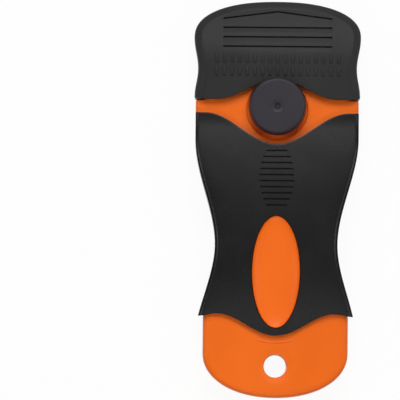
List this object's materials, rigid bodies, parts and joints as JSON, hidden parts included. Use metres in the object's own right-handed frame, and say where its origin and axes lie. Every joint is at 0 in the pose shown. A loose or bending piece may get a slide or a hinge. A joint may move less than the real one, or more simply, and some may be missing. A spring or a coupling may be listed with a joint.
{
  "type": "razor blade scraper",
  "caption": "Flat hand scraper with a clamped straight blade, a clamp knob, soft grips, a hang hole and a pull-off blade cap.",
  "frame": {"origin": "middle of the object's box at the level of the flat back it lies on", "axes": "+Y along the handle towards the blade and cap, +Z out of the knob side, +X to the right seen from the knob side"},
  "size_m": [0.045, 0.107, 0.016],
  "materials": {
    "shell": "moulded orange plastic, fine satin",
    "grip": "soft black overmould, matt",
    "cap": "moulded black plastic, fine satin",
    "knob": "moulded charcoal plastic, matt",
    "blade": "ground steel with a bright edge",
    "fastener": "zinc-plated steel"
  },
  "bodies": {
    "handle": {"back_shell": "shell", "back_grip": "grip", "clamp_nut": "fastener"},
    "front_half": {"front_shell": "shell", "front_grip": "grip", "clamp_washer": "fastener"},
    "knob": {"knob": "knob", "clamp_screw": "fastener"},
    "blade": {"blade": "blade"},
    "cap": {"cap": "cap"}
  },
  "joints": [
    {"name": "jaw_open", "type": "hinge", "parent": "handle", "child": "front_half", "pos_m": [0, -0.0509, 0.00585], "axis": [1, 0, 0], "range_deg": [0, 0.5]},
    {"name": "knob_turn", "type": "hinge", "parent": "front_half", "child": "knob", "pos_m": [0, 0.0248, 0.00905], "axis": [0, 0, 1], "range_deg": [0, 360]},
    {"name": "blade_slide", "type": "slide", "parent": "handle", "child": "blade", "axis": [0, 1, 0], "range_m": [0, 0.026]},
    {"name": "cap_slide", "type": "slide", "parent": "blade", "child": "cap", "axis": [0, 1, 0], "range_m": [0, 0.045]}
  ]
}
